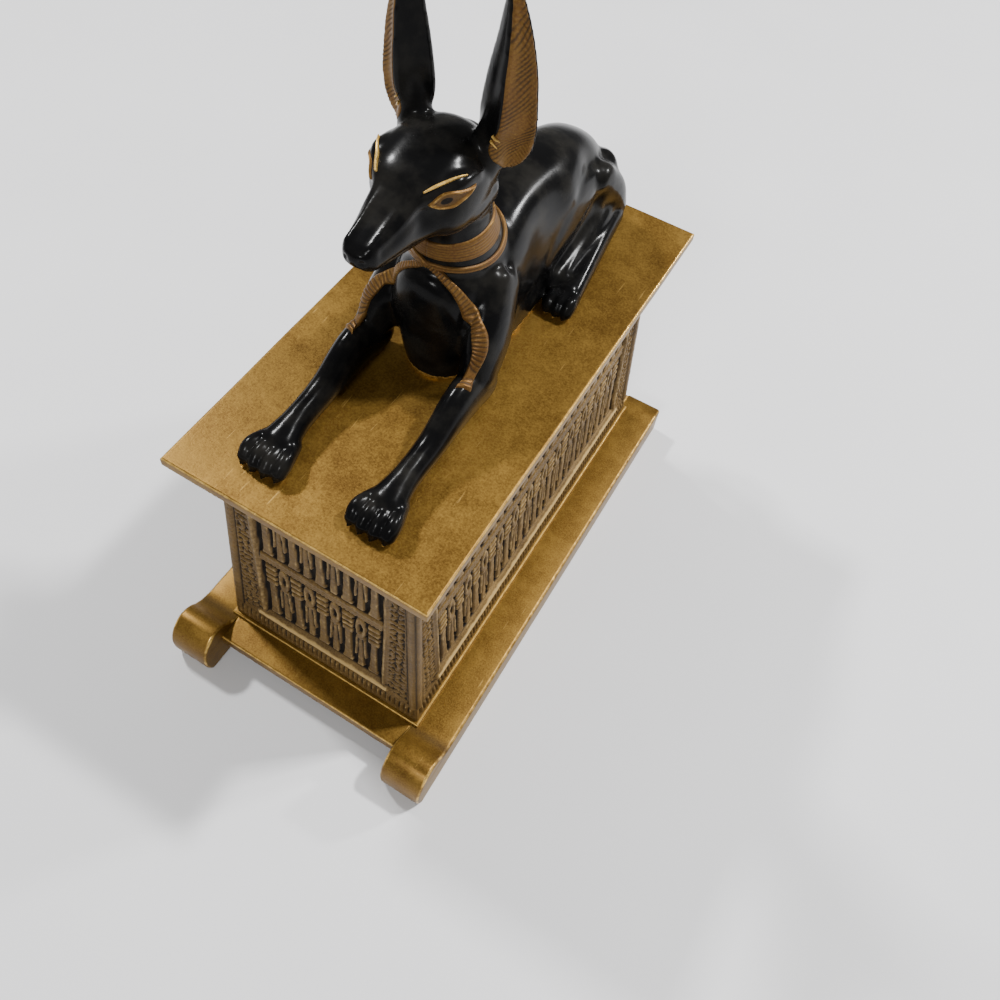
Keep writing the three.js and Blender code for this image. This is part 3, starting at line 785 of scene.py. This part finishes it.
class Paint:
    """A material under construction.

    add() makes a shader node of a kind, applies its settings, then gives its sockets values or
    links, and returns one of its outputs.
    """

    def __init__(self, name):
        self.material = bpy.data.materials.new(name)
        self.material.use_nodes = True
        self.tree = self.material.node_tree
        self.tree.nodes.clear()

    def add(self, kind, inputs, output=0, **settings):
        node = self.tree.nodes.new("ShaderNode" + kind)
        for key, value in settings.items():
            setattr(node, key, value)
        for key, value in inputs.items():
            socket = node.inputs[key]
            if isinstance(value, Term):
                self.tree.links.new(value.socket, socket)
            else:
                socket.default_value = value
        return Term(self, node.outputs[output])

    def noise(self, size, detail=3.0, roughness=0.55, stretch=(1.0, 1.0, 1.0)):
        """Noise from about 0.2 to 0.8 in the piece's own space, its lumps size millimetres long."""
        spot = self.add("TexCoord", {}, "Object")
        scale = tuple(s / MM for s in stretch)
        place = self.add("VectorMath", {0: spot, 1: scale}, operation="MULTIPLY")
        return self.add("TexNoise", {
            "Vector": place, "Scale": 1.0 / size, "Detail": detail, "Roughness": roughness,
        })

    def attribute(self, name):
        return self.add("Attribute", {}, "Fac", attribute_name=name)

    def mix(self, factor, first, second):
        """Blends two colours."""
        return self.add("Mix", {0: factor, 6: first, 7: second}, 2, data_type="RGBA")

    def step(self, value, low, high):
        """0 below low, 1 above high, smooth between."""
        return self.add("MapRange", {0: value, 1: low, 2: high}, interpolation_type="SMOOTHSTEP")

    def bump(self, height, distance, strength):
        return self.add("Bump", {"Strength": strength, "Distance": distance, "Height": height})

    def finish(self, **sockets):
        """Ends the material in a Principled shader; names use _ for a space."""
        inputs = {key.replace("_", " "): value for key, value in sockets.items()}
        shader = self.add("BsdfPrincipled", inputs)
        end = self.tree.nodes.new("ShaderNodeOutputMaterial")
        self.tree.links.new(shader.socket, end.inputs["Surface"])
        return self.material


def black_paint():
    """Gloss black with faint dust and painted sheen in grey streaks, and a broken gold line where it ends on
    the slab.
    """
    paint = Paint("black_gloss")
    streaks = paint.noise(5.0, 4.0)
    fine = paint.noise(0.55, 2.0)
    edge = paint.attribute("gilt") + (paint.noise(1.1, 3.0) - 0.5) * 0.9
    gilt = paint.step(edge, -0.04, 0.10)
    gold = paint.mix(paint.step(fine, 0.35, 0.65), GILT_BODY, GILT_PALE)
    # Grey streaks on the black: dust, and a painted sheen
    colour = paint.mix(paint.step(streaks, 0.40, 0.75), BLACK, BLACK_DUST_AND_SHEEN)
    return paint.finish(
        Base_Color=paint.mix(gilt, colour, gold),
        Roughness=(0.21 + (streaks - 0.5) * 0.20) * (1 - gilt) + gilt * 0.36,
        Metallic=gilt * 0.7,
        IOR=1.17,
        Specular_IOR_Level=0.50,
        Normal=paint.bump(fine * 0.6 + streaks, 0.00003, 0.4),
    )


def gold_paint(name, deep, body, pale, metal, rough):
    """Antique gold: mottled in two scales, dark wash where 'wash' is 1, pale where worn: rubbed wear and
    painted glints.
    """
    paint = Paint(name)
    mottle = paint.noise(13.0, 5.0, 0.62)
    cloud = paint.noise(3.2, 4.0, 0.6)
    grain = paint.noise(0.34, 2.0, 0.7)
    scratch = paint.noise(0.5, 2.0, 0.5, stretch=(1.0, 0.07, 1.0))
    wash = paint.attribute("wash") + (cloud - 0.5) * 0.30
    wear_and_glint = paint.attribute("wear_and_glint") + (paint.noise(1.3, 4.0) - 0.5) * 0.9
    tone = paint.step(mottle * 0.42 + cloud * 0.24 + grain * 0.55, 0.36, 0.86)
    colour = paint.mix(tone, deep, body)
    colour = paint.mix(paint.step(scratch, 0.70, 0.78) * 0.22, colour, pale)
    colour = paint.mix(paint.step(wash, 0.05, 0.95), colour, WASH)
    # Pale where worn: rubbed wear, and painted glints and highlights
    pale_wear_and_glint = paint.step(wear_and_glint, 0.35, 0.95)
    uneven = rough + (grain - 0.5) * 0.25 + (mottle - 0.5) * 0.2
    return paint.finish(
        Base_Color=paint.mix(pale_wear_and_glint, colour, pale),
        Metallic=metal * (1 - paint.step(wash, 0.1, 0.9)),
        Roughness=uneven - pale_wear_and_glint * 0.16 + wash.most(0.0) * 0.25,
        Specular_IOR_Level=0.18,
        Normal=paint.bump(grain * 0.5 + cloud, 0.00007, 0.45),
    )


# Carving of the walls

def box_distance(x, y, cx, cy, half_x, half_y):
    """Distance to an upright box, below 0 inside it."""
    return np.maximum(np.abs(x - cx) - half_x, np.abs(y - cy) - half_y)


def capsule(x, y, ax, ay, bx, by, radius):
    """Distance to a round-ended bar from a to b."""
    dx, dy = bx - ax, by - ay
    t = np.clip(((x - ax) * dx + (y - ay) * dy) / (dx * dx + dy * dy), 0, 1)
    return np.hypot(x - ax - t * dx, y - ay - t * dy) - radius


def pillar(a, b, width, height):
    """Distance to the pillar: a flaring shaft under four short bars."""
    side = np.abs(a) - width * (0.22 + 0.14 * (1 - b / height) ** 3)
    shaft = np.maximum(side, np.abs(b - 0.35 * height) - 0.35 * height)
    shape = np.minimum(shaft, box_distance(a, b, 0, 0.025 * height, 0.42 * width, 0.025 * height))
    for place in (0.66, 0.755, 0.85, 0.945):
        shape = np.minimum(shape, box_distance(a, b, 0, place * height, 0.44 * width, 0.032 * height))
    return shape


def knot(a, b, width, height):
    """Distance to the knot: a loop over a bar, two hanging arms and a skirt."""
    across = np.abs(a)
    ring = np.hypot(a / (0.29 * width), (b - 0.81 * height) / (0.15 * height))
    loop = np.abs(ring - 1) * 0.29 * width - 0.13 * width
    bar = box_distance(a, b, 0, 0.62 * height, 0.36 * width, 0.028 * height)
    arm = capsule(across, b, 0.29 * width, 0.58 * height, 0.39 * width, 0.22 * height, 0.10 * width)
    side = across - width * (0.11 + 0.16 * (1 - b / (0.62 * height)))
    skirt = np.maximum(side, np.abs(b - 0.31 * height) - 0.31 * height)
    return np.minimum.reduce([loop, bar, arm, skirt])


def wobble(u, v, seed, size):
    """A smooth unevenness, the mean of five seeded sine waves about size millimetres long."""
    chance = np.random.default_rng(seed)
    waves = []
    for _ in range(5):
        turn = chance.uniform(0, 2 * pi)
        length = size * chance.uniform(0.6, 1.6)
        phase = chance.uniform(0, 6.3)
        waves.append(np.sin((u * cos(turn) + v * sin(turn)) * 2 * pi / length + phase))
    return sum(waves) / 5


def strokes(u, v, seed, pitch=(1.55, 1.75)):
    """Distance to rows of short slanted strokes, one or two in each cell of a loose grid."""
    chance = np.random.default_rng(seed)
    u = u + STROKE_SHIFT
    column = np.floor(u / pitch[0])
    row = np.floor(v / pitch[1])
    a = u - (column + 0.5) * pitch[0]
    b = v - (row + 0.5) * pitch[1]
    table = chance.random((64, 64, 4))
    pick = table[column.astype(int) % 64, row.astype(int) % 64]
    turn = (pick[..., 0] - 0.5) * 2.4 + np.where(pick[..., 3] > 0.5, 0.0, pi / 2)
    reach = 0.30 + 0.42 * pick[..., 1]
    c, s = np.cos(turn), np.sin(turn)
    along = a * c + b * s
    off = -a * s + b * c
    first = np.hypot(np.maximum(np.abs(along) - reach, 0), off - 0.25 * (pick[..., 2] - 0.2)) - 0.24
    second = np.hypot(np.maximum(np.abs(off) - reach * 0.6, 0), along + 0.35) - 0.21
    return np.where(pick[..., 2] > 0.35, np.minimum(first, second), first)


def motif_rows(u, v, half_panel, panel_top, motifs):
    """Distance to two rows of pillars and knots by turns, side by side across the recess."""
    row = (panel_top - PANEL_FOOT - ROW_GAP - 2.4) / 2
    pitch = (2 * half_panel - 1.2) / motifs
    number = np.clip(np.floor(u / pitch + motifs / 2), 0, motifs - 1)
    a = u - (number - (motifs - 1) / 2) * pitch
    shape = np.full(u.shape, FAR)
    for foot in (PANEL_FOOT + 0.7, (panel_top + PANEL_FOOT) / 2 + ROW_GAP / 2 + 0.1):
        b = v - foot
        one = np.where(number % 2 == 0, pillar(a, b, pitch, row), knot(a, b, pitch, row))
        shape = np.minimum(shape, np.where((b > -0.5) & (b < row + 0.5), one, FAR))
    return shape


def relief(u, v, half, slope, half_panel, motifs, seed):
    """The height of a wall over its plane, in millimetres, at u along and v up its face.

    A framed recess with two rows of motifs and beaded rails, stiles with strokes, a bead along
    each corner, a round moulding, and a band of upright ribs at the foot. Edges are smooth steps
    of the distance to a shape, and beads are half circles.
    """
    panel_top = slope - PANEL_HEAD
    middle = (panel_top + PANEL_FOOT) / 2
    across = np.abs(u)
    uu = u + WANDER * wobble(u, v, seed, WANDER_LENGTH)
    vv = v + WANDER * wobble(u, v, seed + 1, WANDER_LENGTH)
    inside = box_distance(uu, vv, 0, middle, half_panel, (panel_top - PANEL_FOOT) / 2)
    shape = motif_rows(uu, vv, half_panel, panel_top, motifs)
    rail = box_distance(uu, vv, 0, middle, half_panel, ROW_GAP / 2 - 0.35)
    head = box_distance(uu, vv, 0, panel_top - 0.5, half_panel, 0.55)
    height = -PANEL_DEPTH * within(inside, 0.20)
    height += MOTIF_DEPTH * within(shape, 0.16) * (inside < 0) + 0.10 * np.clip(-shape, 0, 0.5)
    rails = within(np.minimum(rail, head), LINE_SOFT) * (inside < 0)
    beads = RAIL_BEAD * np.abs(np.sin(uu * pi / 0.95)) * np.abs(np.sin(vv * pi / 0.85))
    rail_height = -PANEL_DEPTH + (MOTIF_DEPTH + 0.05 + beads) * rails
    height = np.where(rails > 0, np.maximum(height, rail_height), height)
    frame_line = np.abs(np.abs(inside - 0.75) - 0.1)
    height += FRAME_RAISE * smooth(0.42, 0.0, frame_line) * (vv > PANEL_FOOT - 0.6)
    stile = np.maximum.reduce([
        half_panel + 1.7 - across, across - (half - 2.5), STILE_FOOT - v, v - panel_top,
    ])
    height -= STROKE_DEPTH * smooth(0.02, 0.22, strokes(u, v, seed + 2)) * within(stile, LINE_SOFT)
    corner_line = smooth(0.30, 0.05, np.abs(across - (half - 2.15)))
    corner_bead = np.sqrt(np.clip(1 - ((across - (half - CORNER_BEAD)) / CORNER_BEAD) ** 2, 0, 1))
    height += (BEAD_RAISE * corner_bead - BEAD_LINE_DEPTH * corner_line) * (v > BEAD_FOOT)
    off = np.hypot(v - ROUND_BAR, np.maximum(across - (half_panel + 1.6), 0))
    round_bar = np.sqrt(np.clip(ROUND_BAR_RADIUS ** 2 - off ** 2, 0, 1))
    height = np.maximum(height, np.where(off < ROUND_BAR_RADIUS, round_bar, -FAR))
    band = box_distance(u, v, 0, BAND_FOOT + BAND_HEIGHT / 2, half - 0.7, BAND_HEIGHT / 2)
    ribs = BAND_RAISE * (2 * np.abs(np.sin(pi * (u / RIB_PITCH + 0.5))) ** 0.7 - 0.9)
    height = np.where(band < 0, ribs * smooth(0.0, -0.35, band), height)
    return height + CAST_UNEVEN * wobble(u, v, seed + 3, CAST_GRAIN)


def blurred(field, passes):
    """Mean of neighbours, repeated; the borders repeat themselves."""
    for _ in range(passes):
        for axis in (0, 1):
            places = np.arange(field.shape[axis])
            field = sum(field.take(places + k, axis, mode="clip") for k in (-1, 0, 1)) / 3
    return field


def wall(name, number, half_foot, half_top, reach_foot, reach_top, motifs, columns, material):
    """One carved wall as a closed shell: the height field outside, a plain face a little inside.

    The front wall is number 0 and each next one is turned by a quarter. Wash lies where the height
    is below its blurred self; wear and painted glints lie where it is above, and a painted highlight along
    the round moulding.
    """
    rise = WALL_TOP - WALL_FOOT
    run = reach_foot - reach_top
    slope = hypot(rise, run)
    half_panel = half_top - STILE_WIDTH
    v, u = shares(WALL_ROWS, columns)
    v = slope * v
    half = half_foot + (half_top - half_foot) * v / slope
    u = half * (2 * u - 1)
    height = relief(u, v, half, slope, half_panel, motifs, 10 + number)
    height = height * smooth(0.0, 0.5, half - np.abs(u))
    outward = np.array([0, -rise / slope, run / slope])
    face = np.stack([u, -(reach_foot - run * v / slope), WALL_FOOT + rise * v / slope], -1)
    border = border_of(WALL_ROWS, columns)
    front = (face + outward * height[..., None]).reshape(-1, 3)
    back = face.reshape(-1, 3)[border] * (0.93, 1.0, 1.0) - outward * WALL_SHELL
    x, y, z = np.vstack([front, back, back.mean(0)[None]]).T
    first = len(front)
    behind = first + np.arange(len(border))
    after = np.roll(behind, -1)
    rim = np.stack([border, behind, after, np.roll(border, -1)], -1)
    fan = np.stack([np.full(len(border), len(x) - 1), after, behind], -1)
    c, s = ((1, 0), (0, 1), (-1, 0), (0, -1))[number]
    points = metres(np.stack([c * x - s * y, s * x + c * y, z], -1))
    soft = blurred(height, 7)
    hollow = np.clip((soft - height) / 0.26, -0.2, 1.0) + np.clip(-height - 0.25, 0, 1) * 0.75
    # Paler where raised above its surroundings: rubbed wear and painted glints
    high = np.clip((height - soft) / 0.30, 0, 1)
    # A painted highlight along the round moulding
    bar = smooth(1.0, 0.3, np.abs(v - ROUND_BAR)) * (np.abs(u) < half_panel + 1.6)
    quads = np.vstack([grid_quads(WALL_ROWS, columns), rim])
    return put(name, points, quads, material, "shrine_chest", fan,
               {"wash": hollow * 0.95, "wear_and_glint": high * 0.55 + bar * 0.75})


# Slab, boards and runners

def chest_part(name, points, quads, tris, material, wear_and_glint, wash):
    """Puts a closed body of the chest, turned so that its faces point outwards."""
    volume = (diagonals_crossed(points, quads) * points[quads[:, 0]]).sum()
    if volume < 0:
        quads, tris = quads[:, ::-1], tris[:, ::-1]
    return put(name, metres(points), quads, material, "shrine_chest", tris,
               {"wash": wash, "wear_and_glint": wear_and_glint})


def plate(name, half_x, front, rear, low, high, edge, material, waviness=0.05):
    """A plate with rounded edges, as an upper and a lower sheet joined round their border.

    Each sheet drops as a quarter circle within edge of the border. Its grid is close there and
    wide in the middle, and the border runs slightly unevenly.
    """
    close = edge * (1 - np.sin(np.linspace(0, pi / 2, 6)))[::-1]
    close = np.hstack([close, edge + np.array([0.25, 0.6, 1.2, 2.2])])
    spans = []
    for first, last in ((-half_x, half_x), (front, rear)):
        inner = np.linspace(first + close[-1], last - close[-1], int((last - first) / 1.3))[1:-1]
        spans.append(np.hstack([first + close, inner, last - close[::-1]]))
    x, y = np.meshgrid(*spans)
    depth = np.minimum(half_x - np.abs(x), np.minimum(y - front, rear - y))
    drop = edge * (1 - np.sqrt(np.clip(1 - np.clip(1 - depth / edge, 0, 1) ** 2, 0, 1)))
    shift = waviness * (0.5 + 0.5 * wobble(x, y, 5, 34.0)) * smooth(3.0, 0.0, depth)
    x = x - np.sign(x) * shift
    y = y - np.sign(y - (front + rear) / 2) * shift
    points, quads = shell(np.stack([x, y, high - drop], -1), np.stack([x, y, low + drop], -1))
    # A pale line along the rounded edge is a painted highlight, and a faint band inside it rubbed wear
    edge_wear_and_glint = (0.78 * bell(depth - 0.12, 0.12) + 0.10 * bell(depth, 0.8)) * (depth > 0.01)
    wear_and_glint = np.stack([edge_wear_and_glint, edge_wear_and_glint * 0.3])
    return chest_part(name, points, quads, NO_TRIS, material, wear_and_glint, np.zeros(0))


def stretch(start, end, spacing=3.0):
    """Points of a straight line about spacing apart, its end left out."""
    start, end = np.array(start, float), np.array(end, float)
    count = int(round(np.linalg.norm(end - start) / spacing))
    return start + (end - start) * (np.arange(count) / count)[:, None]


def bend(start, control, end, count=10):
    """Points of a quadratic curve, its end left out."""
    t = (np.arange(count) / count)[:, None]
    start, control, end = (np.array(p, float) for p in (start, control, end))
    return (1 - t) ** 2 * start + 2 * t * (1 - t) * control + t ** 2 * end


def runner(name, side, material):
    """A sledge runner: its side outline carried across, with the two ends drawn in round."""
    top = BOARD_TOP - 0.03
    toe = (RUNNER_FRONT + 1.3, 0.0)
    neck, hollow, crown, nose = (CURL_START, top), (-53.6, top + 2.6), (-57.6, top + 3.7), (RUNNER_FRONT, 5.4)
    outline = np.vstack([
        stretch(toe, (RUNNER_REAR, 0.0)),
        [(RUNNER_REAR, 0.3), (RUNNER_REAR, 3.8), (RUNNER_REAR, top - 0.3)],
        stretch((RUNNER_REAR, top), neck),
        bend(neck, (-51.6, top), hollow),
        bend(hollow, (-55.4, top + 4.2), crown),
        bend(crown, (RUNNER_FRONT + 0.3, top + 2.0), nose),
        bend(nose, (RUNNER_FRONT, 1.6), toe),
    ])
    along = unit(unit(np.roll(outline, -1, 0) - outline) + unit(outline - np.roll(outline, 1, 0)))
    normal = np.stack([along[:, 1], -along[:, 0]], -1)
    quarter = np.linspace(0, pi / 2, 6)
    inset = RUNNER_EDGE * (1 - np.sin(quarter))
    drawn = RUNNER_EDGE * (1 - np.cos(quarter))
    x = np.hstack([RUNNER_INNER + drawn, (RUNNER_INNER + RUNNER_OUTER) / 2, (RUNNER_OUTER - drawn)[::-1]])
    inset = np.hstack([inset, 0.0, inset[::-1]])
    rings = outline - normal * inset[:, None, None]
    y, z = rings[..., 0], rings[..., 1]
    points = np.stack([side * x[:, None] + 0 * y, y, z], -1).reshape(-1, 3)
    quads = grid_quads(*y.shape, wrap_columns=True)
    cap = np.array(tessellate_polygon([[Vector((*place, 0.0)) for place in rings[0]]]))
    a, b, c = (outline[cap[:, k]] for k in range(3))
    cap = cap if np.cross(b - a, c - a).sum() < 0 else cap[:, ::-1]
    tris = np.vstack([cap, cap[:, ::-1] + len(points) - len(outline)])
    # Pale rounded edges and a pale band across the crown of the curl: painted highlights
    edge_wear_and_glint = 0.6 * bell(inset - 0.2, 0.3) * (inset > 0)
    wear_and_glint = edge_wear_and_glint[:, None] + 0.30 * bell(y + 58.4, 1.2) * (z > 8)
    # A darker band across the saddle behind the curl
    saddle = 0.5 * bell(y + 50.6, 1.7) * (z > 6)
    return chest_part(name, points, quads, tris, material, wear_and_glint, saddle)


def chest(gold, carved_gold):
    """Every piece of the shrine chest and its sledge."""
    half = SLAB_HALF_LENGTH
    plate("slab", SLAB_HALF_WIDTH, -half, half, WALL_TOP, SLAB_TOP, 0.45, gold, 0.16)
    half = WALL_TOP_HALF_LENGTH + MOULDING_OUT
    plate("cornice", WALL_TOP_HALF_WIDTH + MOULDING_OUT, -half, half, WALL_TOP - 1.5, WALL_TOP + 0.3, 0.5,
          carved_gold)
    half = WALL_FOOT_HALF_LENGTH + MOULDING_OUT
    plate("foot_moulding", WALL_FOOT_HALF_WIDTH + 0.7, -half, half, BOARD_TOP - 0.6, WALL_FOOT + 0.05, 0.42,
          gold, 0.08)
    plate("sledge_board", RUNNER_INNER + 0.4, -BOARD_HALF_LENGTH, RUNNER_REAR - 0.05, BOARD_UNDER, BOARD_TOP,
          0.5, gold, 0.10)
    runner("runner_left", 1, gold)
    runner("runner_right", -1, gold)
    widths = (WALL_FOOT_HALF_WIDTH, WALL_TOP_HALF_WIDTH)
    lengths = (WALL_FOOT_HALF_LENGTH, WALL_TOP_HALF_LENGTH)
    for number, word in enumerate(("front", "left", "rear", "right")):
        across = widths + lengths + (FRONT_MOTIFS, FRONT_COLUMNS)
        beside = lengths + widths + (SIDE_MOTIFS, SIDE_COLUMNS)
        wall("wall_" + word, number, *(beside if number % 2 else across), carved_gold)


# The surroundings

def stage():
    """Pale floor, soft studio light and a dim world."""
    corners = np.array([(-2, -2, 0), (2, -2, 0), (2, 2, 0), (-2, 2, 0)], float)
    floor = mesh_object("floor", corners, [[0, 1, 2, 3]])
    paint = Paint("pale_floor")
    tone = paint.noise(60.0, 3.0)
    floor.data.materials.append(paint.finish(
        Base_Color=paint.mix(tone, (0.66, 0.66, 0.67, 1), (0.72, 0.72, 0.73, 1)), Roughness=0.62))
    lamps = [
        ("lamp_key", (0.36, 0.36, 0.80), 0.08, 10.0),
        ("lamp_side", (-0.55, 0.12, 0.66), 0.09, 7.0),
        ("lamp_low", (0.52, 0.66, 0.44), 0.08, 5.5),
        ("lamp_front", (0.10, -0.70, 0.62), 0.20, 4.0),
    ]
    for name, spot, size, watts in lamps:
        lamp = bpy.data.lights.new(name, "AREA")
        lamp.shape = "RECTANGLE"
        lamp.size = size
        lamp.size_y = size * 0.6
        lamp.energy = watts
        aim = Vector((0, 0, 0.06)) - Vector(spot)
        turn = aim.to_track_quat("-Z", "Y").to_matrix().to_4x4()
        linked(name, lamp).matrix_world = Matrix.Translation(spot) @ turn
    world = bpy.data.worlds.new("studio")
    world.use_nodes = True
    background = world.node_tree.nodes["Background"]
    background.inputs["Color"].default_value = (1.0, 0.99, 0.97, 1)
    background.inputs["Strength"].default_value = 0.27
    bpy.context.scene.world = world


def camera():
    """The camera where the photograph was taken, solved from the edges of the slab and the sledge."""
    place = Matrix.Translation(metres((59.38, -106.82, 206.82)))
    azimuth, elevation, roll = (radians(d) for d in (24.77, 53.47, 7.19))
    focal_pixels, centre_x, centre_y, image = 963.19, 495.74, 422.07, 1000.0
    for angle, axis in ((azimuth, "Z"), (pi / 2 - elevation, "X"), (roll, "Z")):
        place = place @ Matrix.Rotation(angle, 4, axis)
    lens = bpy.data.cameras.new("photo_camera")
    lens.sensor_width = 36.0
    lens.lens = lens.sensor_width * focal_pixels / image
    lens.shift_x = (image / 2 - centre_x) / image
    lens.shift_y = (centre_y - image / 2) / image
    lens.clip_start = 0.01
    holder = linked("photo_camera", lens)
    holder.matrix_world = place
    bpy.context.scene.camera = holder


camera()
stage()
GOLD = gold_paint("antique_gold", GILT_DEEP, GILT_BODY, GILT_PALE, 0.60, 0.41)
CARVED_GOLD = gold_paint("carved_gold", TAN_DEEP, TAN, TAN_PALE, 0.25, 0.50)
TRIM_GOLD = gold_paint("trim_gold", GILT_BROWN, GILT_TRIM, GILT_PALE, 0.50, 0.42)
chest(GOLD, CARVED_GOLD)
BODY = jackal(black_paint())
BRIGHT_GOLD = gold_paint("bright_gold", GILT_BODY, GILT_PALE, GILT_PALE, 0.45, 0.38)
dress(BODY, TRIM_GOLD, BRIGHT_GOLD)
